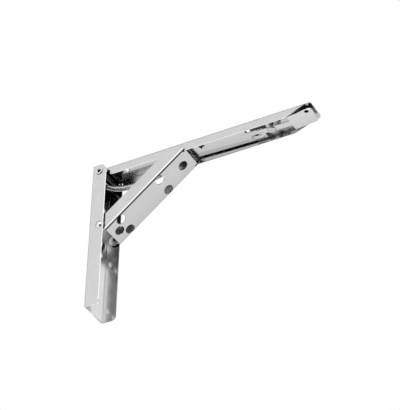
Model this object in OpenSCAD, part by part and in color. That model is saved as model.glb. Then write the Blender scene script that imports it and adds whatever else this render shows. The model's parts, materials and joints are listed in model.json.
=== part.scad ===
// Folding shelf bracket of pressed stainless sheet: a wall plate, a shelf arm that folds down
// into it, and a brace between them whose tip runs along inside the arm with a spring-loaded
// slider. X points out from the wall, Y across and Z up. The origin lies on the wall, at
// mid-width, level with the top of the arm.

/* [Sheet] */
// Thickness of the pressed sheet
sheet = 1.2; // [1:0.05:1.4]
// Outside radius of the long bends
bend_r = 1.8; // [1.6:0.1:2.4]

/* [Wall plate] */
// Height of the plate above the top of the arm
plate_rise = 3.8; // [3.5:0.1:8]
// Depth of the plate below the top of the arm
plate_drop = 206.5; // [195:0.5:260]
// How far the plate's flanges stand out from the wall
plate_d = 19.4; // [17.8:0.2:26]
// Radius of the round lower corner of the flanges
plate_corner_r = 5; // [2:0.5:10]
// Height of the upper pair of wall screws below the top of the arm
wall_hole_drop = 46; // [30:0.5:60]
// Vertical distance from one pair of wall screws to the next
wall_hole_pitch = 68.5; // [50:0.5:72]
// Half the distance between the two screws of a pair
wall_hole_y = 8; // [7:0.5:11]
// Radius of a wall screw hole
wall_hole_r = 2.9; // [2:0.1:3.4]
// Radius of a wall screw's countersink
wall_sink_r = 4.6; // [4:0.1:6]

/* [Arm] */
// How far the arm reaches from the wall
reach = 300; // [285:1:400]
// Width across the arm's flanges
arm_w = 33; // [31:0.5:44]
// Depth of the arm's flanges
arm_d = 12.5; // [12:0.1:13]
// Radius of the flange ears round the arm's pivot
arm_ear_r = 6.5; // [5:0.1:6.8]
// Distance from the arm's tip back to where its flanges start to taper
taper_back = 36; // [15:1:60]
// Distance from the arm's tip back to where its flanges end
taper_end_back = 6; // [0:1:12]
// Radius of the arm's front corners
arm_corner_r = 4.5; // [1:0.5:8]
// Distance from the wall to the first shelf screw
shelf_hole_x = 38; // [28:0.5:60]
// Distance from one shelf screw to the next
shelf_hole_pitch = 85.5; // [60:0.5:88]
// Radius of a shelf screw hole
shelf_hole_r = 2.5; // [1.8:0.1:3]
// Radius of a shelf screw's countersink
shelf_sink_r = 4.1; // [3.4:0.1:5.5]

/* [Pivots] */
// Distance of the arm's pivot from the wall
pivot_a_out = 9.6; // [9:0.1:12]
// Depth of the arm's pivot below the top of the arm
pivot_a_drop = 6; // [5.5:0.1:6.4]
// Distance of the brace's pivot from the wall
pivot_b_out = 14.2; // [14:0.1:16]
// Depth of the brace's pivot below the top of the arm
pivot_b_drop = 90; // [84:0.5:96]
// Outside radius of the hollow rivet at the arm's pivot
rivet_a_r = 3.4; // [2.8:0.1:4]
// Radius of the hole through that rivet
rivet_a_hole_r = 2.4; // [1.5:0.1:2.6]
// Radius of that rivet's rolled heads
rivet_a_head_r = 5.3; // [4.8:0.1:7]
// Thickness of that rivet's rolled heads
rivet_a_head_t = 1.2; // [0.8:0.1:2]
// Radius of the brace rivets' shanks
rivet_b_r = 2.4; // [1.8:0.1:2.8]
// Radius of the collar on which the brace turns
rivet_b_collar_r = 3.3; // [3:0.1:4]
// Radius of the brace rivets' domed heads
rivet_b_head_r = 5.1; // [4.5:0.1:7]
// Height of the brace rivets' domed heads
rivet_b_head_h = 1.6; // [1:0.1:2.5]
// Radius of the washers on the brace rivets
washer_r = 6; // [5:0.1:7]
// Radius of the hollow in a brace rivet's inner end
rivet_b_hollow_r = 2; // [1:0.1:2.4]
// Distance of the spring's anchor pin from the wall
anchor_out = 7.6; // [7:0.1:8.4]
// Depth of the anchor pin below the top of the arm
anchor_drop = 15.9; // [15.5:0.1:16.5]
// Radius of the anchor pin
anchor_r = 1.5; // [1:0.1:2]
// Radius of the notches with which the arm's flanges clear that pin
notch_r = 3.5; // [2.8:0.1:4]

/* [Brace] */
// Depth of the brace's flanges
brace_d = 20.7; // [18:0.1:22]
// Distance from the tip pin's axis to the outer face of the brace's web
pin_to_web = 3; // [2.9:0.05:3.2]
// Radius of the flange ears round the brace's pivot
brace_ear_r = 8.2; // [6:0.1:9]
// Distance from the brace's pivot to its tip pin, along the brace
tip_s = 137.5; // [130:0.5:146]
// How far the web runs on past the tip pin
web_past_pin = 2; // [1.9:0.1:2.4]
// How far the brace's flanges reach up over the edge of the arm's
flange_lap = 2.4; // [1:0.1:4]
// Radius of the large lightening holes
brace_hole_r = 6.4; // [4:0.1:7]
// Distance along the brace to its lowest hole
hole_1_s = 12.2; // [10:0.1:13]
// Distance along the brace to the lower pair of holes
hole_2_s = 22.8; // [20:0.1:30]
// Distance along the brace to the upper pair of holes
hole_3_s = 91.1; // [60:0.1:100]
// Distance along the brace to its highest hole
hole_4_s = 124.2; // [121:0.1:126]
// Half the distance between the two holes of a pair
brace_hole_y = 11.05; // [10.5:0.05:11.2]

/* [Slider] */
// Height of the brace's tip pin above the lower edge of the arm's flanges
pin_lift = 1.6; // [1.5:0.05:1.8]
// Radius of the tip pin
pin_r = 1.5; // [1.2:0.05:1.6]
// Radius of the eyes that carry the tip pin
eye_r = 2.6; // [2.2:0.05:2.7]
// Half the distance across the two eyes
yoke_y = 10.6; // [8:0.1:10.8]
// Length of the yoke's foot, measured back from the tip pin
yoke_l = 21; // [20.5:0.1:24]
// Length of the slider along the arm
slider_l = 15; // [13:0.5:17]
// How far the slider reaches out past the pin
slider_ahead = 6; // [4:0.5:6.5]
// Height of the slider's cheeks above the lower edge of the arm's flanges
cheek_lift = 0.3; // [0.2:0.1:1]
// Radius of the waist on the tip pin that the spring's eye lies in
waist_r = 0.9; // [0.7:0.05:1]
// Half the length of that waist
waist_l = 0.9; // [0.8:0.05:1.5]

/* [Lock lever] */
// Distance from the wall to the inner end of the lock plate
lock_start = 134; // [134:0.5:144]
// Distance from the wall to the outer end of the lock plate
lock_end = 230; // [226:0.5:230]
// Half the width of the lock plate
lock_y = 12.6; // [11.6:0.1:12.8]
// Depth of the lock plate's channel
lock_d = 2.2; // [1.8:0.1:2.4]
// Distance from the wall to the step where the lock plate narrows
step_x = 208; // [200:0.5:212]
// Depth of the bridge that is pressed out of the lock plate's far side
bridge_h = 2.4; // [1.4:0.1:2.6]
// Fall of the lock plate from its inner to its outer end
lock_fall = 3; // [2:0.1:3.2]
// Distance from the wall to the lever's fulcrum
fulcrum_x = 240.5; // [240:0.5:250]
// Radius of the rivets that join the lock plate to the lever's stem
lever_rivet_r = 1.2; // [0.8:0.1:1.6]
// Radius of the fulcrum stud
stud_r = 2; // [1.5:0.1:2.2]
// Radius of the fulcrum stud's head
stud_head_r = 5.2; // [4:0.1:5.4]
// Half the width of the lever's stem
stem_y = 3.9; // [3:0.1:6]
// Distance from the lever's fulcrum to the release tab
stem_l = 26.5; // [20:0.5:27]
// Length of stem that laps under the lock plate
stem_lap = 8; // [6:0.5:10]
// Gap between the end of the tab and the end of the arm
tab_end_gap = 1.5; // [1:0.5:4]
// Half the width of the release tab
tab_y = 13; // [10:0.1:13.8]
// Upward slope of the release tab, in degrees
tab_slope = 4.7; // [0:0.1:6]
// Radius of the hole in the release tab
tab_hole_r = 2.8; // [1.5:0.1:3.5]

/* [Springs] */
// Wire radius of the counterbalance spring
wire_r = 0.6; // [0.4:0.05:0.7]
// Mean coil radius of the counterbalance spring
coil_r = 2.9; // [2.2:0.1:3.4]
// Depth below the arm's top that steers how far the counterbalance spring sags
coil_sag = 36; // [30:0.5:40]
// Number of turns of the counterbalance spring
coil_turns = 58; // [30:1:60]
// Wire radius of the lever's spring
lever_wire_r = 0.45; // [0.3:0.05:0.6]
// Mean coil radius of the lever's spring
lever_coil_r = 3.3; // [3:0.1:4]
// Number of turns of the lever's spring
lever_turns = 4.5; // [3:0.5:6]
// Distance from the lever's fulcrum to its spring
lever_spring_gap = 8.5; // [8:0.5:14]
// Radius of the rib under the stem on which the lever rocks
rib_r = 0.95; // [0.8:0.05:1.1]

/* [Fits] */
// Side gap between the arm's flanges and the brace's
nest_gap = 0.3; // [0.2:0.05:0.6]
// Side gap between the brace's flanges and the plate's, taken up by a washer
brace_gap = 2; // [1.4:0.1:3]
// Radial clearance of a turning fit
run_gap = 0.05; // [0.02:0.01:0.1]
// Radial clearance of a riveted fit
fixed_gap = 0.02; // [0.01:0.01:0.03]
// Clearance between faces that slide past each other
slide_gap = 0.5; // [0.3:0.05:0.55]
// Clearance beside a washer or spacer
side_gap = 0.1; // [0.05:0.01:0.2]

/* [Hidden] */
$fn = 64;
coil_steps = 10;
wire_sides = 5;
over = 1;
hole_land = 0.5;
steel = [0.80, 0.80, 0.79];
bright = [0.86, 0.86, 0.85];
dark = [0.45, 0.45, 0.46];

// Widths: each channel nests in the next
brace_w = arm_w + 2 * (nest_gap + sheet);
plate_w = brace_w + 2 * (brace_gap + sheet);
arm_inner_y = arm_w / 2 - sheet;
brace_inner_y = brace_w / 2 - sheet;
plate_inner_y = plate_w / 2 - sheet;

// The brace's own axes start at its pivot: s runs along it and n towards the corner
pin_drop = arm_d - pin_lift;
pin_n = pivot_a_drop + pivot_a_out - pivot_b_out - pin_drop;
web_out_n = pin_n - pin_to_web;
web_in_n = web_out_n + sheet;
edge_n = web_out_n + brace_d;
brace_angle = asin((pivot_b_drop - pin_drop) / norm([tip_s, pin_n])) - atan2(pin_n, tip_s);
pin_x = pivot_b_out + tip_s * cos(brace_angle) - pin_n * sin(brace_angle);
web_end_s = tip_s + web_past_pin;
cut_z = flange_lap - arm_d;

// The anchor pin as the arm meets it when folded down
notch_x = pivot_a_out + anchor_drop - pivot_a_drop;
notch_z = anchor_out - pivot_a_out - pivot_a_drop;

// The slider is a saddle of sheet inside the arm
slider_drop = arm_d - cheek_lift;
slider_top = -sheet - slide_gap;
slider_y = arm_inner_y - 0.75;
slider_start = pin_x + slider_ahead - slider_l;
pin_room = pin_r + 0.3;

// The lock plate slopes down towards the fulcrum, with the lever's stem under its end
lock_top = slider_top - sheet - 0.4;
lock_angle = atan(lock_fall / (lock_end - lock_start));
stem_start = lock_end - stem_lap;
stem_top = lock_top - sheet - (stem_start - lock_start) * tan(lock_angle);
function stem_z(x) = stem_top - (x - stem_start) * tan(lock_angle);
tab_end = reach - tab_end_gap;
tab_start = fulcrum_x + stem_l;
rivet_xs = [stem_start + stem_lap / 4, stem_start + 3 * stem_lap / 4];
fulcrum_z = stem_z(fulcrum_x);
rib_z = fulcrum_z - sheet / 2;
stud_head_top = rib_z - rib_r - 0.02;
stud_head_t = 1.4;
lever_spring_x = fulcrum_x + lever_spring_gap;

// A rectangle that stands on the x axis, with its two lower corners round
module round_foot(width, depth, r) {
    intersection() {
        union() {
            translate([r - width / 2, 0]) square([width - 2 * r, depth]);
            translate([-width / 2, r]) square([width, depth - r]);
            for (side = [-1, 1]) translate([side * (width / 2 - r), r]) circle(r);
        }
        translate([-width / 2, 0]) square([width, depth]);
    }
}

// Cross-section of a pressed channel: its web lies on the x axis and its flanges rise from it
module channel_section(width, depth) {
    difference() {
        round_foot(width, depth, bend_r);
        translate([0, sheet]) round_foot(width - 2 * sheet, depth, bend_r - sheet);
    }
}

// A channel along the x axis, with its flanges up
module channel(width, depth, length) {
    rotate([90, 0, 90]) linear_extrude(length) channel_section(width, depth);
}

// A side view, drawn in x and z, as a slab right across the bracket
module side_slab(width = 60) {
    rotate([90, 0, 0]) linear_extrude(width, center = true) children();
}

// A cylinder across the bracket from one y to another
module cross_pin(r, y1, y2) {
    translate([0, y2, 0]) rotate([90, 0, 0]) cylinder(r = r, h = y2 - y1);
}

// A screw hole through sheet that lies on the xy plane, countersunk from above
module screw_hole(r, sink_r) {
    translate([0, 0, -over]) cylinder(r = r, h = sheet + 2 * over);
    translate([0, 0, hole_land]) cylinder(r1 = r, r2 = sink_r, h = sheet - hole_land);
    translate([0, 0, sheet]) cylinder(r = sink_r, h = over);
}

// A washer or spacer across the bracket from one y to another
module ring(r, hole_r, y1, y2) {
    difference() {
        cross_pin(r, y1, y2);
        cross_pin(hole_r, y1 - over, y2 + over);
    }
}

// A low dome on the xy plane
module dome(r, h) {
    ball_r = (r * r + h * h) / (2 * h);
    intersection() {
        translate([0, 0, h - ball_r]) sphere(ball_r);
        cylinder(r = r, h = h);
    }
}

// Moves its children to the arm's pivot, the brace's pivot or the brace's own axes
module at_pivot_a() {
    translate([pivot_a_out, 0, -pivot_a_drop]) children();
}
module at_pivot_b() {
    translate([pivot_b_out, 0, -pivot_b_drop]) children();
}
module on_brace() {
    at_pivot_b() rotate([0, -brace_angle, 0]) children();
}

// Repeats its children on the near side and, mirrored, on the far side
module both_sides() {
    children();
    mirror([0, 1, 0]) children();
}

// Side view of the wall plate: ears round the arm's pivot, and round lower corners
module plate_side() {
    ear_r = plate_d - pivot_a_out;
    translate([0, plate_corner_r - plate_drop])
        square([plate_d, plate_drop - pivot_a_drop - plate_corner_r]);
    translate([0, -plate_drop]) square([plate_d - plate_corner_r, plate_corner_r + over]);
    translate([plate_d - plate_corner_r, plate_corner_r - plate_drop]) circle(plate_corner_r);
    translate([pivot_a_out, -pivot_a_drop]) circle(ear_r);
    translate([0, -pivot_a_drop]) square([pivot_a_out, plate_rise + pivot_a_drop]);
}

// Wall plate: a channel with its web on the wall, six wall screw holes and the rivet holes
module wall_plate() {
    color(steel) difference() {
        intersection() {
            translate([0, 0, plate_rise]) rotate([0, 90, 0])
                channel(plate_w, plate_d, plate_drop + plate_rise);
            side_slab() plate_side();
        }
        for (row = [0:2], y = [-wall_hole_y, wall_hole_y])
            translate([0, y, -wall_hole_drop - row * wall_hole_pitch])
                rotate([0, 90, 0]) screw_hole(wall_hole_r, wall_sink_r);
        at_pivot_a() cross_pin(rivet_a_r + fixed_gap, -plate_w, plate_w);
        at_pivot_b() cross_pin(rivet_b_r + fixed_gap, -plate_w, plate_w);
        translate([anchor_out, 0, -anchor_drop])
            cross_pin(anchor_r + fixed_gap, -plate_w, plate_w);
    }
}

// Side view of the arm: ears, notches that clear the anchor pin, and a tapered front
module arm_side() {
    difference() {
        union() {
            translate([pivot_a_out, -pivot_a_drop]) circle(arm_ear_r);
            polygon([[pivot_a_out, 0], [pivot_a_out, -pivot_a_drop], [notch_x, -pivot_a_drop],
                     [notch_x, -arm_d], [reach - taper_back, -arm_d],
                     [reach - taper_end_back, -sheet], [reach, -sheet], [reach, 0]]);
        }
        translate([notch_x, notch_z]) circle(notch_r);
        translate([notch_x - notch_r, -2 * arm_d]) square([2 * notch_r, 2 * arm_d + notch_z]);
    }
}

// Plan of the arm, with round front corners
module arm_plan() {
    square_l = reach - arm_corner_r;
    translate([0, -arm_w / 2]) square([square_l, arm_w]);
    translate([0, arm_corner_r - arm_w / 2]) square([reach, arm_w - 2 * arm_corner_r]);
    for (side = [-1, 1]) translate([square_l, side * (arm_w / 2 - arm_corner_r)])
        circle(arm_corner_r);
}

// Arm: a channel with its web up under the shelf, and the shelf screw holes
module arm() {
    color(steel) difference() {
        intersection() {
            mirror([0, 0, 1]) channel(arm_w, arm_d, reach);
            side_slab() arm_side();
            translate([0, 0, -2 * arm_d]) linear_extrude(3 * arm_d) arm_plan();
        }
        for (i = [0:2]) translate([shelf_hole_x + i * shelf_hole_pitch, 0, 0])
            mirror([0, 0, 1]) screw_hole(shelf_hole_r, shelf_sink_r);
        at_pivot_a() cross_pin(rivet_a_r + run_gap, -arm_w, arm_w);
        translate([fulcrum_x, 0, -arm_d]) cylinder(r = stud_r + fixed_gap, h = 2 * arm_d);
    }
}

// Hollow rivet right through the plate's ears, on which the arm turns, with rolled heads
module arm_pivot_rivet() {
    rim = rivet_a_head_t / 2;
    head_y = plate_w / 2;
    color(bright) at_pivot_a() difference() {
        union() {
            cross_pin(rivet_a_r, -head_y - rim, head_y + rim);
            both_sides() translate([0, -head_y, 0]) rotate([90, 0, 0]) {
                cylinder(r = rivet_a_head_r - rim, h = rivet_a_head_t);
                translate([0, 0, rim]) rotate_extrude()
                    translate([rivet_a_head_r - rim, 0]) circle(rim);
            }
        }
        cross_pin(rivet_a_hole_r, -plate_w, plate_w);
        both_sides() translate([0, -head_y - rivet_a_head_t - over / 10, 0]) rotate([-90, 0, 0])
            cylinder(r1 = rivet_a_hole_r + 0.8, r2 = rivet_a_hole_r, h = 0.9);
    }
}

// Tube on that rivet, which keeps the arm's flanges apart
module arm_pivot_sleeve() {
    half = arm_inner_y - side_gap;
    color(steel) at_pivot_a() ring(rivet_a_r + 0.9, rivet_a_r + run_gap, -half, half);
}

// Spacer on that rivet between an ear of the plate and an ear of the arm
module arm_spacer() {
    color(dark) at_pivot_a() ring(rivet_a_r + 2, rivet_a_r + run_gap, -plate_inner_y,
                                  -arm_w / 2 - side_gap);
}

// Rivet at one side of the brace's foot: a domed head outside, and a collar flush inside
module brace_rivet() {
    collar_y = brace_inner_y + side_gap / 2;
    collar_end = brace_w / 2 + side_gap / 2;
    color(bright) at_pivot_b() difference() {
        union() {
            cross_pin(rivet_b_r, -plate_w / 2, -collar_end);
            cross_pin(rivet_b_collar_r, -collar_end, -collar_y);
            translate([0, -plate_w / 2, 0]) rotate([90, 0, 0]) dome(rivet_b_head_r, rivet_b_head_h);
        }
        cross_pin(rivet_b_hollow_r, -collar_end - over, 0);
    }
}

// Washer on that rivet between the plate's flange and the brace's
module brace_washer() {
    color(steel) at_pivot_b() ring(washer_r, rivet_b_r + run_gap,
                                   -plate_inner_y, -brace_w / 2 - side_gap);
}

// Side view of the brace in its own axes: ears at the foot, and cut level under the arm
module brace_side() {
    drop = pivot_b_drop + cut_z;
    cut_n = (drop - web_end_s * sin(brace_angle)) / cos(brace_angle);
    cut_s = (drop - edge_n * cos(brace_angle)) / sin(brace_angle);
    foot_s = 0.8;
    circle(brace_ear_r);
    polygon([[foot_s, web_out_n], [web_end_s, web_out_n], [web_end_s, cut_n],
             [cut_s, edge_n], [0, edge_n]]);
}

// Brace: a channel with its web away from the corner, and six large holes in the web
module brace() {
    corner_l = 4;
    corner_y = arm_inner_y - 0.4;
    color(steel) on_brace() difference() {
        intersection() {
            translate([-brace_ear_r, 0, web_out_n])
                channel(brace_w, brace_d, web_end_s + brace_ear_r);
            side_slab() brace_side();
        }
        for (p = [[hole_1_s, 0], [hole_2_s, -brace_hole_y], [hole_2_s, brace_hole_y],
                  [hole_3_s, -brace_hole_y], [hole_3_s, brace_hole_y], [hole_4_s, 0]])
            translate([p[0], p[1], web_out_n - over])
                cylinder(r = brace_hole_r, h = sheet + 2 * over);
        cross_pin(rivet_b_collar_r + run_gap, -plate_w, plate_w);
        both_sides() translate([web_end_s - corner_l, -brace_inner_y, web_out_n - over])
            cube([corner_l + over, brace_inner_y - corner_y, sheet + 2 * over]);
    }
}

// Yoke inside the brace's tip: a foot on the web round its top hole, and two eyes for the pin
module tip_yoke() {
    foot_s = tip_s - yoke_l;
    color(dark) on_brace() {
        difference() {
            translate([foot_s, sheet - yoke_y, web_in_n])
                cube([tip_s - eye_r - 1 - foot_s, 2 * (yoke_y - sheet), sheet]);
            translate([hole_4_s, 0, web_in_n - over])
                cylinder(r = brace_hole_r + 0.4, h = sheet + 2 * over);
        }
        both_sides() difference() {
            translate([0, -yoke_y, 0]) rotate([90, 0, 0]) mirror([0, 0, 1])
                linear_extrude(sheet) intersection() {
                    union() {
                        translate([tip_s, pin_n]) circle(eye_r);
                        polygon([[foot_s, web_in_n], [tip_s + eye_r, web_in_n],
                                 [tip_s + eye_r, pin_n], [tip_s - 1, pin_n + eye_r - 0.2],
                                 [foot_s, web_in_n + sheet]]);
                    }
                    translate([foot_s, web_in_n]) square([2 * tip_s, brace_d]);
                }
            translate([tip_s, 0, pin_n]) cross_pin(pin_r + fixed_gap, -yoke_y - over, 0);
        }
    }
}

// Pin through the yoke's eyes, which rests in the slider's notches and has a waist at its
// middle for the spring's eye
module slider_pin() {
    color(bright) on_brace() translate([tip_s, 0, pin_n]) difference() {
        cross_pin(pin_r, -slider_y, slider_y);
        ring(pin_r + over, waist_r, -waist_l, waist_l);
    }
}

// Side view of the slider's cheeks, open outwards and down, because the tip pin swings clear
// of them through the middle of the fold
module slider_side() {
    reach_z = -slider_drop;
    difference() {
        translate([slider_start, reach_z]) square([slider_l, slider_top - reach_z]);
        translate([pin_x, -pin_drop]) circle(pin_room);
        translate([pin_x - pin_room, -2 * slider_drop])
            square([slider_l, 2 * slider_drop - pin_drop]);
        translate([pin_x, -2 * slider_drop])
            square([slider_l, 2 * slider_drop - pin_drop + pin_room]);
    }
}

// Slider: a saddle of sheet whose cheeks bear on the tip pin
module slider_saddle() {
    color(dark) intersection() {
        translate([slider_start, 0, slider_top]) mirror([0, 0, 1])
            channel(2 * slider_y, slider_drop, slider_l);
        side_slab() slider_side();
    }
}

// Plan of the lock plate's cut-outs: a hooked slot near its inner end, and a step beyond which
// only the part over the lever's stem and the far side goes on
module lock_cuts() {
    hook_x = lock_start + 9;
    step_y = -stem_y - 0.3;
    translate([hook_x, -6.2]) square([6, 2.8]);
    translate([hook_x + 6, -4.8]) circle(1.9);
    translate([hook_x + 1, -3.8]) square([3, 3]);
    translate([step_x, -lock_y - over]) square([lock_end - step_x + over, lock_y + step_y + over]);
}

// Shears its children down along x with the lock plate's slope, about the plate's inner end
module on_slope() {
    slope = tan(lock_angle);
    multmatrix([[1, 0, 0, 0], [0, 1, 0, 0], [-slope, 0, 1, lock_start * slope], [0, 0, 0, 1]])
        children();
}

// Lock plate: a shallow channel that slopes down from the slider to the lever's stem, with a
// bridge pressed out of its far side
module lock_plate() {
    length = lock_end - lock_start;
    bridge_l = 17;
    bridge_y = [stem_y + 0.5, yoke_y - sheet - 0.4];
    bridge_x = lock_end - 2 - bridge_l;
    bridge_r = (bridge_l * bridge_l / 4 + bridge_h * bridge_h) / (2 * bridge_h);
    color(steel) on_slope() {
        difference() {
            translate([lock_start, 0, lock_top]) mirror([0, 0, 1])
                channel(2 * lock_y, lock_d, length);
            translate([0, 0, -2 * arm_d]) linear_extrude(2 * arm_d) lock_cuts();
            for (x = rivet_xs) translate([x, 0, -2 * arm_d])
                cylinder(r = lever_rivet_r + fixed_gap, h = 2 * arm_d);
        }
        intersection() {
            translate([bridge_x + bridge_l / 2, 0, lock_top - sheet - bridge_h + bridge_r])
                ring(bridge_r, bridge_r - sheet, bridge_y[0], bridge_y[1]);
            translate([bridge_x, 0, lock_top - 2 * arm_d]) cube([bridge_l, lock_y, 2 * arm_d]);
        }
    }
}

// Side view of the release lever: a stem with the lock plate's slope, then the tab
module lever_side() {
    bend_z = stem_z(tab_start);
    tip_z = bend_z + (tab_end - tab_start) * tan(tab_slope);
    drop = [0, -sheet];
    polygon([[stem_start, stem_top], [tab_start, bend_z], [tab_end, tip_z],
             [tab_end, tip_z] + drop, [tab_start, bend_z] + drop, [stem_start, stem_top] + drop]);
}

// Plan of the release lever: a narrow stem and a broad tab with round corners
module lever_plan() {
    r = 4;
    translate([stem_start, -stem_y]) square([tab_start - stem_start + r, 2 * stem_y]);
    translate([tab_start, -tab_y]) square([tab_end - tab_start - r, 2 * tab_y]);
    translate([tab_start, r - tab_y]) square([tab_end - tab_start, 2 * (tab_y - r)]);
    for (side = [-1, 1]) translate([tab_end - r, side * (tab_y - r)]) circle(r);
}

// Release lever: it rocks on a rib under its stem, so that pressing its tab up tips the lock
// plate down
module release_lever() {
    hole_x = tab_end - 7;
    hole_y = 3.5 - tab_y;
    color(bright) difference() {
        union() {
            intersection() {
                side_slab() lever_side();
                translate([0, 0, -2 * arm_d]) linear_extrude(2 * arm_d) lever_plan();
            }
            translate([fulcrum_x, 0, rib_z]) cross_pin(rib_r, -stem_y, stem_y);
        }
        translate([fulcrum_x, 0, -2 * arm_d]) cylinder(r = stud_r + 0.4, h = 2 * arm_d);
        translate([hole_x, hole_y, -2 * arm_d]) cylinder(r = tab_hole_r, h = 2 * arm_d);
        for (x = rivet_xs) translate([x, 0, -2 * arm_d])
            cylinder(r = lever_rivet_r + fixed_gap, h = 2 * arm_d);
    }
}

// Rivet through the lock plate and the lever's stem
module lever_rivet(x) {
    head_r = 1.5 * lever_rivet_r;
    color(bright) on_slope() translate([x, 0, lock_top]) {
        translate([0, 0, -2 * sheet]) cylinder(r = lever_rivet_r, h = 2 * sheet);
        dome(head_r, 0.35);
        mirror([0, 0, 1]) translate([0, 0, 2 * sheet]) dome(head_r, 0.35);
    }
}

// Fulcrum stud, riveted into the arm's web, on whose head the lever rocks
module fulcrum_stud() {
    color(bright) translate([fulcrum_x, 0, 0]) {
        translate([0, 0, stud_head_top - stud_head_t]) {
            cylinder(r = stud_r, h = -stud_head_top + stud_head_t);
            cylinder(r1 = stud_head_r - 0.5, r2 = stud_head_r, h = 0.5);
            translate([0, 0, 0.5]) cylinder(r = stud_head_r, h = stud_head_t - 0.5);
        }
        translate([0, 0, -2 * sheet]) cylinder(r = stud_r + 1.2, h = sheet);
    }
}

// Pin across the wall plate that holds the counterbalance spring
module spring_anchor_pin() {
    half = plate_w / 2 + 0.3;
    color(bright) translate([anchor_out, 0, -anchor_drop]) cross_pin(anchor_r, -half, half);
}

function unit(v) = v / norm(v);

// A wire swept along a list of [point, outward direction] pairs
module wire(path, r) {
    last = len(path) - 1;
    function tangent(i) = unit(path[min(i + 1, last)][0] - path[max(i - 1, 0)][0]);
    function outward(i) = let (t = tangent(i), v = path[i][1]) unit(v - t * (v * t));
    function spoke(i, j) = let (a = 360 * j / wire_sides, u = outward(i))
        cos(a) * u + sin(a) * cross(tangent(i), u);
    points = [for (i = [0:last], j = [0:wire_sides - 1]) path[i][0] + r * spoke(i, j)];
    sides = [for (i = [0:last - 1], j = [0:wire_sides - 1])
        let (a = i * wire_sides, k = (j + 1) % wire_sides)
        [a + j, a + wire_sides + j, a + wire_sides + k, a + k]];
    start_cap = [for (j = [0:wire_sides - 1]) j];
    end_cap = [for (j = [wire_sides - 1:-1:0]) last * wire_sides + j];
    polyhedron(points, concat([start_cap, end_cap], sides), convexity = 10);
}

// Coil spring under the arm's web that pushes the lever's stem down
module lever_spring() {
    top_z = -sheet - lever_wire_r;
    bottom_z = stem_z(lever_spring_x + lever_coil_r) + lever_wire_r + 0.15;
    steps = 14;
    path = [for (i = [0:lever_turns * steps])
        let (a = 360 * i / steps, u = [cos(a), sin(a), 0])
        [[lever_spring_x, 0, top_z + (bottom_z - top_z) * i / (lever_turns * steps)]
            + lever_coil_r * u, u]];
    color(steel) wire(path, lever_wire_r);
}

// Points of an eye of the counterbalance spring's wire, as an arc round a pin
function eye(centre, r, from, to, steps) = [for (i = [0:steps])
    let (a = from + (to - from) * i / steps, u = [cos(a), 0, sin(a)]) [centre + r * u, u]];

// Counterbalance spring: hooked on the anchor pin and on the waist of the tip pin, it hangs
// slack between them with the arm up, and it stretches as the bracket folds
module counter_spring() {
    start_eye = [anchor_out, 0, -anchor_drop];
    end_eye = [pin_x, 0, -pin_drop];
    start_r = anchor_r + wire_r + 0.1;
    end_r = waist_r + wire_r + 0.05;
    p0 = start_eye + [2.6, 0, -2.2];
    p1 = start_eye + [19, 0, -16];
    p2 = [0.56 * pin_x, 0, -coil_sag];
    p3 = end_eye + [-14, 0, -3.5];
    turn_steps = coil_turns * coil_steps;
    function along(t) = (1 - t) ^ 3 * p0 + 3 * (1 - t) ^ 2 * t * p1 + 3 * (1 - t) * t ^ 2 * p2
        + t ^ 3 * p3;
    function heading(t) = unit((1 - t) ^ 2 * (p1 - p0) + 2 * (1 - t) * t * (p2 - p1)
        + t ^ 2 * (p3 - p2));
    coil = [for (i = [0:turn_steps])
        let (t = i / turn_steps, a = 360 * i / coil_steps, h = heading(t),
             up = cross([0, 1, 0], h), u = cos(a) * up + sin(a) * [0, 1, 0],
             grow = min(1, i / coil_steps, (turn_steps - i) / coil_steps))
        [along(t) + coil_r * grow * u, u]];
    first = eye(start_eye, start_r, 400, 60, 14);
    second = eye(end_eye, end_r, 125, -10, 8);
    color(steel) wire(concat(first, coil, second), wire_r);
}

wall_plate();
arm();
brace();
arm_pivot_rivet();
arm_pivot_sleeve();
arm_spacer();  // arm_spacer_near
mirror([0, 1, 0]) arm_spacer();  // arm_spacer_far
brace_rivet();  // brace_rivet_near
mirror([0, 1, 0]) brace_rivet();  // brace_rivet_far
brace_washer();  // brace_washer_near
mirror([0, 1, 0]) brace_washer();  // brace_washer_far
tip_yoke();
slider_pin();
slider_saddle();
lock_plate();
release_lever();
lever_rivet(rivet_xs[0]);  // lever_rivet_inner
lever_rivet(rivet_xs[1]);  // lever_rivet_outer
fulcrum_stud();
lever_spring();
spring_anchor_pin();
counter_spring();
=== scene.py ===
import json
from math import cos, pi, radians, sin

import bmesh
import bpy
from mathutils import Matrix, Vector


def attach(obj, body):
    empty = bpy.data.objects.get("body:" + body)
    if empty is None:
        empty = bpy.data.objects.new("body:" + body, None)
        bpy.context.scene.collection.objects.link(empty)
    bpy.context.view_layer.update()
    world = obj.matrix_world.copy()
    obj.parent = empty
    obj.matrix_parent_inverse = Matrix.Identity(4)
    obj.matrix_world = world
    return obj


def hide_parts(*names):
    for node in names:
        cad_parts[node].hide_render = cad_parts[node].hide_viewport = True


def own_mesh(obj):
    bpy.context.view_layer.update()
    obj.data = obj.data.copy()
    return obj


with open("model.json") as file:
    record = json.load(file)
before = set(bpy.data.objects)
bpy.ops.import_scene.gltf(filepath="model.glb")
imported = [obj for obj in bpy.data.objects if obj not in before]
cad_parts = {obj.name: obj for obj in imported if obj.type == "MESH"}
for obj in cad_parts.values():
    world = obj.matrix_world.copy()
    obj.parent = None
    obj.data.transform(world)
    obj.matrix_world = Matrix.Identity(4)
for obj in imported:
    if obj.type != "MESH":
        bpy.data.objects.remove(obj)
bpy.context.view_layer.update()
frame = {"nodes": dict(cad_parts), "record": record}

# Studio: a camera below and in front of the bracket, a pale floor far below it, and a bright room
# whose patches of light and shade stand for soft boxes, walls and the photographer. To the camera
# itself the room is plain white.
camera_place = (0.8705, -1.3268, -1.2069)
camera_right = Vector((0.8817, 0.4717, 0.0135)).normalized()
camera_up = Vector((0.2706, -0.5287, 0.8046))
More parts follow.
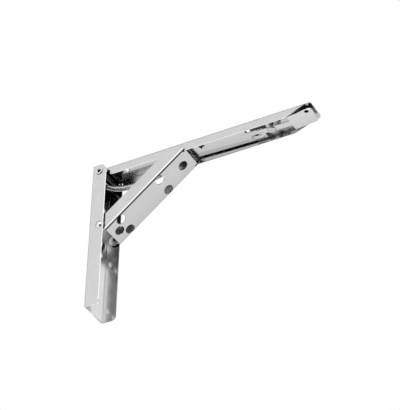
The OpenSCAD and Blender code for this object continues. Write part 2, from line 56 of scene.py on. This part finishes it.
camera_back = camera_right.cross(camera_up).normalized()
camera_up = camera_back.cross(camera_right).normalized()
camera_data = bpy.data.cameras.new("camera")
camera_data.sensor_fit = "VERTICAL"
camera_data.sensor_height = 36
camera_data.lens = 137.07
camera_data.clip_end = 30
camera = bpy.data.objects.new("camera", camera_data)
camera_turn = Matrix((camera_right, camera_up, camera_back)).transposed()
camera.matrix_world = Matrix.Translation(camera_place) @ camera_turn.to_4x4()
bpy.context.scene.collection.objects.link(camera)
bpy.context.scene.camera = camera
bpy.context.scene.view_settings.view_transform = "Standard"

world = bpy.data.worlds.new("studio")
bpy.context.scene.world = world
world.use_nodes = True
room = world.node_tree
room_way = room.nodes.new("ShaderNodeTexCoord")


def add_node(tree, kind, values, **settings):
    """A node with its settings, whose inputs are linked to sockets or set to plain values."""
    node = tree.nodes.new(kind)
    for setting, value in settings.items():
        setattr(node, setting, value)
    if not isinstance(values, dict):
        values = dict(enumerate(values))
    for socket, value in values.items():
        if isinstance(value, bpy.types.NodeSocket):
            tree.links.new(value, node.inputs[socket])
        else:
            node.inputs[socket].default_value = value
    return node


def room_patch(way, inner, outer, level, before):
    """Room that has one level within a cosine of a direction and fades to what was there."""
    dot = add_node(room, "ShaderNodeVectorMath",
                   (room_way.outputs["Generated"], Vector(way).normalized()),
                   operation="DOT_PRODUCT")
    ramp = add_node(room, "ShaderNodeMapRange",
                    {"Value": dot.outputs["Value"], "From Min": outer, "From Max": inner},
                    interpolation_type="SMOOTHSTEP")
    mix = add_node(room, "ShaderNodeMix",
                   {"Factor": ramp.outputs["Result"], "A": before, "B": level})
    return mix.outputs["Result"]


# The far wall is in shade. A wide soft box stands above the camera and a narrow one right in
# front of the bracket. The photographer darkens the corner behind the camera, and the room is
# duller up on the far right.
far_wall = {"way": (-0.1, 0.99, 0.0), "inner": 0.97, "outer": 0.60, "level": 0.50}
wide_box = {"way": (0.45, -0.66, 0.60), "inner": 0.95, "outer": 0.86, "level": 1.6}
front_box = {"way": (-0.15, -0.92, 0.34), "inner": 0.985, "outer": 0.955, "level": 1.8}
photographer = {"way": (0.53, -0.52, -0.67), "inner": 0.866, "outer": 0.766, "level": 0.05}
far_right = {"way": (0.39, 0.71, 0.59), "inner": 0.94, "outer": 0.82, "level": 0.55}
room_level = 0.95
for patch in (far_wall, wide_box, front_box, photographer, far_right):
    room_level = room_patch(before=room_level, **patch)
room_light = room.nodes["Background"]
room.links.new(room_level, room_light.inputs["Color"])
room_white = add_node(room, "ShaderNodeBackground", {"Color": (1, 1, 1, 1)})
room_path = room.nodes.new("ShaderNodeLightPath")
room_seen = add_node(room, "ShaderNodeMixShader",
                     (room_path.outputs["Is Camera Ray"], room_light.outputs[0],
                      room_white.outputs[0]))
room.links.new(room_seen.outputs[0], room.nodes["World Output"].inputs["Surface"])

floor_z = -1.75
floor_reach = 40
floor_mesh = bpy.data.meshes.new("floor")
floor_mesh.from_pydata([(floor_reach * x, floor_reach * y, floor_z)
                        for x, y in ((-1, -1), (1, -1), (1, 1), (-1, 1))], [], [(0, 1, 2, 3)])
floor = bpy.data.objects.new("floor", floor_mesh)
bpy.context.scene.collection.objects.link(floor)
floor.visible_glossy = False
floor_paint = bpy.data.materials.new("floor_paint")
floor_paint.use_nodes = True
floor_shader = floor_paint.node_tree.nodes["Principled BSDF"]
floor_shader.inputs["Base Color"].default_value = (0.86, 0.86, 0.86, 1)
floor_shader.inputs["Roughness"].default_value = 0.9
floor_mesh.materials.append(floor_paint)

# Wall plate: 1.2 mm stainless sheet, rolled with a fine grain along its length, blanked, folded
# into a channel and tumbled, so that its sheared edges and rims are polished bright. It is
# screwed to the wall through its web, and its ears carry the arm.

def shader_group(name, inputs, outputs):
    """A shader node group with named sockets, and its input and output nodes."""
    group = bpy.data.node_groups.new(name, "ShaderNodeTree")
    for way, sockets in (("INPUT", inputs), ("OUTPUT", outputs)):
        for socket, kind in sockets.items():
            group.interface.new_socket(socket, in_out=way, socket_type="NodeSocket" + kind)
    return group, group.nodes.new("NodeGroupInput"), group.nodes.new("NodeGroupOutput")


def add_math(tree, operation, *values, kind="ShaderNodeMath"):
    """The result of one arithmetic node."""
    node = add_node(tree, kind, values, operation=operation)
    return node.outputs["Value" if operation == "DOT_PRODUCT" else 0]


def scaled(tree, vector, amount):
    """A vector or a colour times a number."""
    return add_node(tree, "ShaderNodeVectorMath", {0: vector, "Scale": amount},
                    operation="SCALE").outputs[0]


# The sheet's surface: fine lines along the grain, a faint cloud of tone and sheen, a painted
# shade that darkens the tone in deep folds and in inner corners, and a face that is crowned
# across its width.
grain, grain_in, grain_out = shader_group(
    "rolled_grain_and_painted_shade",
    {"Along": "Vector", "Tone": "Float", "Depth": "Float", "Crown": "Float", "Shade": "Float"},
    {"Color": "Color", "Roughness": "Float", "Normal": "Vector"})
grain_place = grain.nodes.new("ShaderNodeTexCoord").outputs["Object"]
grain_stretched = add_math(grain, "MULTIPLY", grain_place, grain_in.outputs["Along"],
                           kind="ShaderNodeVectorMath")


def grain_noise(source, scale):
    """Noise of one size on the grain's stretched coordinates, or on plain ones."""
    return add_node(grain, "ShaderNodeTexNoise",
                    {"Vector": source, "Scale": scale, "Detail": 3.0}).outputs["Fac"]


def grain_range(noise, low, high):
    """A noise value spread from one number to another."""
    return add_node(grain, "ShaderNodeMapRange",
                    {"Value": noise, "From Min": 0.3, "From Max": 0.7, "To Min": low,
                     "To Max": high}).outputs["Result"]


def grain_painted_shade(reach, rays, closed, open_sky, darkest, fade):
    """A painted shade: a tone that falls to its darkest where the surface is closed in within a
    reach.
    """
    sky = add_node(grain, "ShaderNodeAmbientOcclusion", {"Distance": reach}, samples=rays)
    return add_node(grain, "ShaderNodeMapRange",
                    {"Value": sky.outputs["AO"], "From Min": closed, "From Max": open_sky,
                     "To Min": darkest}, interpolation_type=fade).outputs["Result"]


grain_lines = grain_noise(grain_stretched, 1.0)
grain_cloud = grain_noise(grain_place, 60.0)
tone = add_math(grain, "MULTIPLY", grain_range(grain_lines, 0.97, 1.02),
                grain_range(grain_cloud, 0.975, 1.02))
tone = add_math(grain, "MULTIPLY", tone, grain_in.outputs["Tone"])
# Painted shade: the tone is darkened where the surface is closed in, over a long reach in deep
# folds and over a short one in narrow creases.
tone = add_math(grain, "MULTIPLY", tone,
                grain_painted_shade(reach=0.08, rays=40, closed=0.05, open_sky=0.36,
                           darkest=grain_in.outputs["Shade"], fade="SMOOTHSTEP"))
tone = add_math(grain, "MULTIPLY", tone,
                grain_painted_shade(reach=0.0025, rays=16, closed=0.5, open_sky=0.8, darkest=0.4,
                           fade="LINEAR"))
tone_color = add_node(grain, "ShaderNodeCombineColor", (tone, tone, tone))
grain.links.new(tone_color.outputs["Color"], grain_out.inputs["Color"])
grain.links.new(grain_range(grain_cloud, 0.13, 0.20), grain_out.inputs["Roughness"])
grain_bump = add_node(grain, "ShaderNodeBump",
                      {"Strength": grain_in.outputs["Depth"], "Distance": 0.00005,
                       "Height": grain_lines})
crown_place = add_node(grain, "ShaderNodeSeparateXYZ", (grain_place,))
crown_tilt = add_math(grain, "MULTIPLY", crown_place.outputs["Y"], grain_in.outputs["Crown"])
crown_way = add_node(grain, "ShaderNodeCombineXYZ", {"Y": crown_tilt})
crown_sum = add_math(grain, "ADD", grain_bump.outputs["Normal"], crown_way.outputs[0],
                     kind="ShaderNodeVectorMath")
grain.links.new(add_math(grain, "NORMALIZE", crown_sum, kind="ShaderNodeVectorMath"),
                grain_out.inputs["Normal"])

# The flanges of a pressed channel roll over softly into its bends, so that light runs along
# them, and lean a little on the inside. Inner is a mask of the flanges' inner faces.
sheet = 0.0012
roll_end = 0.0050
bend_amount = 0.5
flange_lean = 0.028
roll, roll_in, roll_out = shader_group(
    "bend_roll",
    {"Normal": "Vector", "Up": "Vector", "Base": "Float", "Amount": "Float", "Lean": "Float"},
    {"Normal": "Vector", "Inner": "Float"})
roll_place = roll.nodes.new("ShaderNodeTexCoord").outputs["Object"]
roll_up = add_node(roll, "ShaderNodeVectorTransform", (roll_in.outputs["Up"],),
                   vector_type="VECTOR", convert_from="OBJECT", convert_to="WORLD").outputs[0]
roll_height = add_math(roll, "SUBTRACT",
                       add_math(roll, "DOT_PRODUCT", roll_place, roll_in.outputs["Up"],
                                kind="ShaderNodeVectorMath"), roll_in.outputs["Base"])
roll_side = add_math(roll, "SIGN",
                     add_node(roll, "ShaderNodeSeparateXYZ", (roll_place,)).outputs["Y"])
roll_surface = roll.nodes.new("ShaderNodeNewGeometry")
roll_facing = add_math(roll, "MULTIPLY", roll_side,
                       add_math(roll, "DOT_PRODUCT", roll_surface.outputs["Normal"], (0, 1, 0),
                                kind="ShaderNodeVectorMath"))
roll_outer = add_math(roll, "MAXIMUM", 0.0, roll_facing)
roll_inner = add_math(roll, "MAXIMUM", 0.0, add_math(roll, "MULTIPLY", -1.0, roll_facing))
roll.links.new(roll_inner, roll_out.inputs["Inner"])
roll_fade = add_node(roll, "ShaderNodeMapRange",
                     {"Value": roll_height, "From Min": sheet, "From Max": roll_end,
                      "To Min": -1.0, "To Max": 0.0}, interpolation_type="SMOOTHSTEP")
roll_outside = add_math(roll, "MULTIPLY", roll_in.outputs["Amount"],
                        add_math(roll, "MULTIPLY", roll_outer, roll_fade.outputs["Result"]))
roll_inside = add_math(roll, "MULTIPLY", roll_in.outputs["Lean"], roll_inner)
roll_sum = add_math(roll, "ADD", roll_in.outputs["Normal"],
                    scaled(roll, roll_up, add_math(roll, "ADD", roll_outside, roll_inside)),
                    kind="ShaderNodeVectorMath")
roll.links.new(add_math(roll, "NORMALIZE", roll_sum, kind="ShaderNodeVectorMath"),
               roll_out.inputs["Normal"])


def steel(name, tone, along, depth=0.05, crown=0.0, shade=0.1, bends=None):
    """Stainless steel of one tone, with its grain stretched along one direction and a painted
    shade in its folds that goes down to the shade given. Bends give a channel's flange direction
    and the height of its web's outer face."""
    material = bpy.data.materials.new(name)
    material.use_nodes = True
    tree = material.node_tree
    shader = tree.nodes["Principled BSDF"]
    shader.inputs["Metallic"].default_value = 1.0
    surface = add_node(tree, "ShaderNodeGroup",
                       {"Along": along, "Tone": tone, "Depth": depth, "Crown": crown,
                        "Shade": shade}, name="surface", node_tree=grain)
    tree.links.new(surface.outputs["Color"], shader.inputs["Base Color"])
    tree.links.new(surface.outputs["Roughness"], shader.inputs["Roughness"])
    normal = surface.outputs["Normal"]
    if bends:
        rolled = add_node(tree, "ShaderNodeGroup",
                          {"Normal": normal, "Up": bends[0], "Base": bends[1],
                           "Amount": bend_amount, "Lean": flange_lean},
                          name="bends", node_tree=roll)
        normal = rolled.outputs["Normal"]
    tree.links.new(normal, shader.inputs["Normal"])
    return material


def ramp_along(tree, axis, start, stop, low, high):
    """A value that runs from low to high between two places on one axis of the part."""
    place = tree.nodes.new("ShaderNodeTexCoord").outputs["Object"]
    split = add_node(tree, "ShaderNodeSeparateXYZ", (place,))
    return add_node(tree, "ShaderNodeMapRange",
                    {"Value": split.outputs[axis], "From Min": start, "From Max": stop,
                     "To Min": low, "To Max": high},
                    interpolation_type="SMOOTHSTEP").outputs["Result"]


def shade_along(material, axis, start, stop, low, high):
    """The painted shade in the folds goes deeper at one end of a channel, where other parts close
    it in.
    """
    tree = material.node_tree
    shade = tree.nodes["surface"].inputs["Shade"]
    ramp = ramp_along(tree, axis, start, stop, low, high)
    if shade.is_linked:
        ramp = add_math(tree, "MULTIPLY", shade.links[0].from_socket, ramp)
    tree.links.new(ramp, shade)


def inner_shade_along(material, axis, start, stop, amount=0.9):
    """The flanges' inner faces are painted darker, as shade, from one height to another, at the
    hinge.
    """
    tree = material.node_tree
    paint = tree.nodes["Principled BSDF"].inputs["Base Color"]
    painted_inner_shade = add_math(tree, "MULTIPLY", ramp_along(tree, axis, start, stop, 0.0, amount),
                      tree.nodes["bends"].outputs["Inner"])
    unshaded = add_math(tree, "SUBTRACT", 1.0, painted_inner_shade)
    tree.links.new(scaled(tree, paint.links[0].from_socket, unshaded), paint)


# Every sharp edge of a piece is rounded off. A face about as narrow as the sheet is thick, with
# sharp edges most of the way round, is a sheared face.
record = frame["record"]
bodies = {node: body for body, nodes in record["behaviour"]["bodies"].items() for node in nodes}
merge_distance = 1e-6
flat_angle = radians(0.5)
sharp_angle = radians(28)
shading_angle = radians(50)
cut_width = 0.00125
cut_share = 0.8


def finished(node, flat, edge, round_off=0.00018):
    """A node's own shape with its edges rounded off, and the rounded edges and the sheared faces
    in a finish of their own. It takes the node's place on the body that carries it."""
    form = bmesh.new()
    form.from_mesh(frame["nodes"][node].data)
    bmesh.ops.remove_doubles(form, verts=form.verts, dist=merge_distance)
    bmesh.ops.dissolve_limit(form, angle_limit=flat_angle, verts=form.verts, edges=form.edges)
    sharp = {e for e in form.edges if e.is_manifold and e.calc_face_angle() > sharp_angle}
    for face in form.faces:
        around = sum(e.calc_length() for e in face.edges)
        sheared = sum(e.calc_length() for e in face.edges if e in sharp)
        if 2 * face.calc_area() / around < cut_width and sheared > cut_share * around:
            face.material_index = 1
    bmesh.ops.bevel(form, geom=list(sharp), offset=round_off, offset_type="OFFSET", segments=2,
                    profile=0.5, affect="EDGES", clamp_overlap=True, material=1)
    mesh = bpy.data.meshes.new(node + "_finished")
    form.to_mesh(mesh)
    form.free()
    mesh.materials.append(flat)
    mesh.materials.append(edge)
    for polygon in mesh.polygons:
        polygon.use_smooth = True
    mesh.set_sharp_from_angle(angle=shading_angle)
    piece = bpy.data.objects.new(node + "_finished", mesh)
    bpy.context.scene.collection.objects.link(piece)
    weigh = piece.modifiers.new("flat_faces", "WEIGHTED_NORMAL")
    weigh.keep_sharp = True
    weigh.weight = 100
    depsgraph = bpy.context.evaluated_depsgraph_get()
    piece.data = bpy.data.meshes.new_from_object(piece.evaluated_get(depsgraph))
    piece.modifiers.clear()
    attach(piece, bodies[node])
    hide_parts(node)


grain_upright = (900, 900, 30)
fine_grain = (300, 300, 300)
plate_steel = steel("plate_steel", tone=0.68, along=grain_upright, depth=0.04,
                    bends=((1, 0, 0), 0.0))
# Painted shade: the plate's folds are darker above the brace's foot, and its flanges' inner faces
# darker still towards the hinge at the top.
shade_along(plate_steel, "Z", start=-0.102, stop=-0.084, low=1.0, high=0.1)
inner_shade_along(plate_steel, "Z", start=-0.040, stop=-0.012)
polished_edge = steel("polished_edge", tone=0.90, along=fine_grain, crown=43.0, shade=0.15)
finished("wall_plate", plate_steel, polished_edge, round_off=0.00035)

# Arm: the same sheet, folded open side down under the shelf, with its grain along its length
# and its flanges tapered at the front. It turns on the hollow rivet between the plate's ears.
grain_lengthwise = (30, 900, 900)
arm_steel = steel("arm_steel", tone=0.66, along=grain_lengthwise, depth=0.04,
                  bends=((0, 0, -1), 0.0))
shade_along(arm_steel, "X", start=0.030, stop=0.050, low=0.5, high=1.0)
shade_along(arm_steel, "X", start=0.262, stop=0.284, low=1.0, high=0.1)
finished("arm", arm_steel, polished_edge)

# Brace: the same sheet, with large holes punched in its web. It turns on two rivets low in the
# plate, leans out to the arm, and closes over the arm when the bracket is folded.
behaviour = record["behaviour"]
brace_pivot = next(Vector(j["pos_m"]) for j in behaviour["joints"] if j["name"] == "brace_fold")
brace_ratio = next(c["ratio"] for c in behaviour["couplings"] if c["joint"] == "brace_fold")
brace_lean = radians(90 * brace_ratio - 90)
brace_pivot_depth = 0.0125
brace_up = Vector((-sin(brace_lean), 0, cos(brace_lean)))
brace_base = brace_up.dot(brace_pivot) - brace_pivot_depth
grain_out_and_up = (60, 900, 60)
brace_steel = steel("brace_steel", tone=0.66, along=grain_out_and_up, depth=0.06, crown=3.2,
                    bends=(brace_up, brace_base))
shade_along(brace_steel, "Z", start=-0.092, stop=-0.072, low=1.0, high=0.1)
finished("brace", brace_steel, polished_edge)

# Lock plate, release lever, slider and yoke: thin pressings of hard sheet inside the arm. The
# lever is riveted to the lock plate and rocks on the stud, and the slider and the yoke carry the
# brace's tip.
lever_steel = steel("lever_steel", tone=0.71, along=grain_lengthwise, crown=2.2)
shade_along(lever_steel, "X", start=0.160, stop=0.185, low=1.0, high=0.5)
tab_steel = steel("tab_steel", tone=0.79, along=grain_lengthwise, crown=2.2, shade=0.5)
finished("lock_plate", lever_steel, polished_edge, round_off=0.00014)
finished("release_lever", tab_steel, polished_edge)
finished("slider_saddle", lever_steel, polished_edge, round_off=0.00014)
finished("tip_yoke", lever_steel, polished_edge, round_off=0.00014)

# Rivets, pins, washers and the stud: turned and upset stainless wire, bright from tumbling. The
# brace's rivets have domed heads whose flanks fall away to a rim painted grey as shade, and what
# sits inside the joints is painted near black as the shade within them.
wire_grain = (400, 400, 400)
rivet_steel = steel("rivet_steel", tone=0.66, along=wire_grain)
# Painted shade: the sleeve, spacers and washers inside the joints get a near-black tone for the
# shade they sit in.
joint_shade_steel = steel("joint_shade_steel", tone=0.05, along=wire_grain, depth=0.1)
head_steel = steel("head_steel", tone=0.90, along=wire_grain)
dome, dome_in, dome_out = shader_group("domed_head", {"Steepness": "Float"},
                                       {"Normal": "Vector", "Rim": "Float"})
dome_surface = dome.nodes.new("ShaderNodeNewGeometry")
dome_steepness = dome_in.outputs["Steepness"]
dome_way = add_node(dome, "ShaderNodeCombineXYZ", (dome_steepness, 1.0, dome_steepness))
dome_normal = add_math(dome, "MULTIPLY", dome_surface.outputs["Normal"], dome_way.outputs[0],
                       kind="ShaderNodeVectorMath")
dome_normal = add_math(dome, "NORMALIZE", dome_normal, kind="ShaderNodeVectorMath")
dome.links.new(dome_normal, dome_out.inputs["Normal"])
dome_across = add_node(dome, "ShaderNodeSeparateXYZ", (dome_normal,)).outputs["Y"]
# Painted shade: where a head's flank is steep its tone falls to 0.4, a grey rim round the dome.
dome_rim_shade = add_node(dome, "ShaderNodeMapRange",
                    {"Value": add_math(dome, "ABSOLUTE", dome_across), "From Min": 0.38,
                     "From Max": 0.52, "To Min": 0.40}, interpolation_type="SMOOTHSTEP")
dome.links.new(dome_rim_shade.outputs["Result"], dome_out.inputs["Rim"])
head_tree = head_steel.node_tree
head_dome = add_node(head_tree, "ShaderNodeGroup", {"Steepness": 2.8}, node_tree=dome)
head_shader = head_tree.nodes["Principled BSDF"]
head_paint = head_shader.inputs["Base Color"]
head_tree.links.new(scaled(head_tree, head_paint.links[0].from_socket,
                           head_dome.outputs["Rim"]), head_paint)
head_tree.links.new(head_dome.outputs["Normal"], head_shader.inputs["Normal"])
for flat, edge, nodes in (
        (rivet_steel, polished_edge, ("arm_pivot_rivet",)),
        (joint_shade_steel, polished_edge, ("arm_pivot_sleeve", "arm_spacer_near", "arm_spacer_far")),
        (head_steel, head_steel, ("brace_rivet_near", "brace_rivet_far")),
        (joint_shade_steel, polished_edge, ("brace_washer_near", "brace_washer_far")),
        (rivet_steel, polished_edge, ("slider_pin", "lever_rivet_inner", "lever_rivet_outer",
                                      "fulcrum_stud", "spring_anchor_pin"))):
    for node in nodes:
        finished(node, flat, edge, round_off=0.0001)

# Springs: close coils of drawn wire, swept by Geometry Nodes along a line that carries, at each
# point, how far the wire stands off it and how far the coil has turned. The counterbalance
# spring hooks on the anchor pin and on the brace's tip pin, and the lever's sits over its stem.
spring_steel = steel("spring_steel", tone=0.96, along=fine_grain, depth=0.03, shade=1.0)
coil = bpy.data.node_groups.new("wire_coil", "GeometryNodeTree")
coil_sockets = {}
for socket, kind in (("Line", "Geometry"), ("Coil Radius", "Float"), ("Wire Radius", "Float"),
                     ("Step", "Float"), ("Unevenness", "Float"), ("Seed", "Int"),
                     ("Steel", "Material")):
    coil_sockets[socket] = coil.interface.new_socket(socket, in_out="INPUT",
                                                     socket_type="NodeSocket" + kind).identifier
coil.interface.new_socket("Wire", in_out="OUTPUT", socket_type="NodeSocketGeometry")
coil_in = coil.nodes.new("NodeGroupInput")
coil_out = coil.nodes.new("NodeGroupOutput")
coil_line = add_node(coil, "GeometryNodeMeshToCurve", {"Mesh": coil_in.outputs["Line"]})
coil_points = add_node(coil, "GeometryNodeResampleCurve",
                       {"Curve": coil_line.outputs["Curve"], "Length": coil_in.outputs["Step"]},
                       mode="LENGTH")
coil_side = add_node(coil, "FunctionNodeInputVector", {}, vector=(0, 1, 0))
coil_tangent = coil.nodes.new("GeometryNodeInputTangent")
coil_upward = add_math(coil, "CROSS_PRODUCT", coil_side.outputs[0], coil_tangent.outputs[0],
                       kind="ShaderNodeVectorMath")
coil_stand_off, coil_turn = (
    add_node(coil, "GeometryNodeInputNamedAttribute", {"Name": name},
             data_type="FLOAT").outputs["Attribute"] for name in ("stand_off", "turn"))
coil_noise = add_node(coil, "ShaderNodeTexNoise",
                      {"W": add_math(coil, "ADD", coil_turn, coil_in.outputs["Seed"]),
                       "Scale": 0.35}, noise_dimensions="1D")
coil_wobble = add_math(coil, "MULTIPLY",
                       add_math(coil, "SUBTRACT", coil_noise.outputs[0], 0.5),
                       coil_in.outputs["Unevenness"])
coil_reach = add_math(coil, "MULTIPLY",
                      add_math(coil, "MULTIPLY", coil_stand_off,
                               add_math(coil, "ADD", coil_wobble, 1.0)),
                      coil_in.outputs["Coil Radius"])
coil_parts = [scaled(coil, way, add_math(coil, "MULTIPLY", add_math(coil, operation, coil_turn),
                                         coil_reach))
              for operation, way in (("COSINE", coil_upward), ("SINE", coil_side.outputs[0]))]
coil_offset = add_math(coil, "ADD", *coil_parts, kind="ShaderNodeVectorMath")
coil_place = add_node(coil, "GeometryNodeSetPosition",
                      {"Geometry": coil_points.outputs["Curve"], "Offset": coil_offset})
coil_round = add_node(coil, "GeometryNodeCurvePrimitiveCircle",
                      {"Resolution": 10, "Radius": coil_in.outputs["Wire Radius"]})
coil_wire = add_node(coil, "GeometryNodeCurveToMesh",
                     {"Curve": coil_place.outputs["Geometry"],
                      "Profile Curve": coil_round.outputs["Curve"], "Fill Caps": True})
coil_smooth = add_node(coil, "GeometryNodeSetShadeSmooth",
                       {"Geometry": coil_wire.outputs["Mesh"]})
coil_real = add_node(coil, "GeometryNodeRealizeInstances",
                     {"Geometry": coil_smooth.outputs["Geometry"]})
coil_paint = add_node(coil, "GeometryNodeSetMaterial",
                      {"Geometry": coil_real.outputs["Geometry"],
                       "Material": coil_in.outputs["Steel"]})
coil.links.new(coil_paint.outputs["Geometry"], coil_out.inputs["Wire"])


def wound(node, body, path, coil_radius, wire_radius, step, unevenness=0.05, seed=7):
    """A coil along a path of (point, stand-off, turn) in place of a spring's node."""
    line = bpy.data.meshes.new(node + "_line")
    line.from_pydata([p[0] for p in path], [(i, i + 1) for i in range(len(path) - 1)], [])
    for slot, name in ((1, "stand_off"), (2, "turn")):
        layer = line.attributes.new(name, "FLOAT", "POINT")
        layer.data.foreach_set("value", [p[slot] for p in path])
    obj = bpy.data.objects.new(node + "_wound", line)
    bpy.context.scene.collection.objects.link(obj)
    sweep = obj.modifiers.new("coil", "NODES")
    sweep.node_group = coil
    for socket, value in (("Coil Radius", coil_radius), ("Wire Radius", wire_radius),
                          ("Step", step), ("Unevenness", unevenness), ("Seed", seed),
                          ("Steel", spring_steel)):
        sweep[coil_sockets[socket]] = value
    depsgraph = bpy.context.evaluated_depsgraph_get()
    obj.data = bpy.data.meshes.new_from_object(obj.evaluated_get(depsgraph))
    obj.modifiers.clear()
    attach(obj, body)
    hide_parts(node)
    return obj


def round_pin(centre, radius, start, stop, count):
    """Points of a hook round a pin, with no coil on them."""
    return [centre + Vector((radius * cos(radians(a)), 0, radius * sin(radians(a))))
            for a in (start + (stop - start) * i / count for i in range(count + 1))]


def middle(node):
    """The middle of a CAD node's box."""
    corners = [Vector(corner) for corner in frame["nodes"][node].bound_box]
    return (corners[0] + corners[6]) / 2


# The counterbalance spring sags between its two hooks.
anchor_pin = middle("spring_anchor_pin")
tip_pin = middle("slider_pin")
sag_point = Vector((0.07116, 0, -0.036))
hang = [anchor_pin + Vector((0.0026, 0, -0.0022)), anchor_pin + Vector((0.019, 0, -0.016)),
        sag_point, tip_pin + Vector((-0.014, 0, -0.0035))]
counter_turns = 58
counter_steps = 5 * counter_turns
counter_path = [(point, 0.0, 0.0) for point in
                round_pin(anchor_pin, radius=0.0022, start=400, stop=60, count=24)]
for i in range(counter_steps + 1):
    t = i / counter_steps
    point = ((1 - t) ** 3 * hang[0] + 3 * (1 - t) ** 2 * t * hang[1]
             + 3 * (1 - t) * t ** 2 * hang[2] + t ** 3 * hang[3])
    stand_off = min(1, counter_turns * t, counter_turns * (1 - t))
    counter_path.append((point, stand_off, 2 * pi * counter_turns * t))
counter_path += [(point, 0.0, 2 * pi * counter_turns) for point in
                 round_pin(tip_pin, radius=0.00155, start=125, stop=-10, count=16)]
counter_spring = wound("counter_spring", "wall", counter_path, coil_radius=0.0029,
                       wire_radius=0.0006, step=0.00011)
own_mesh(counter_spring)

lever_turns = 4.5
lever_steps = 45
lever_top = Vector((0.249, 0, -0.00165))
lever_bottom = Vector((0.249, 0, -0.00810))
lever_path = [(lever_top.lerp(lever_bottom, i / lever_steps), 1.0,
               2 * pi * lever_turns * i / lever_steps) for i in range(lever_steps + 1)]
wound("lever_spring", "shelf_arm", lever_path, coil_radius=0.0033, wire_radius=0.00045,
      step=0.00008)
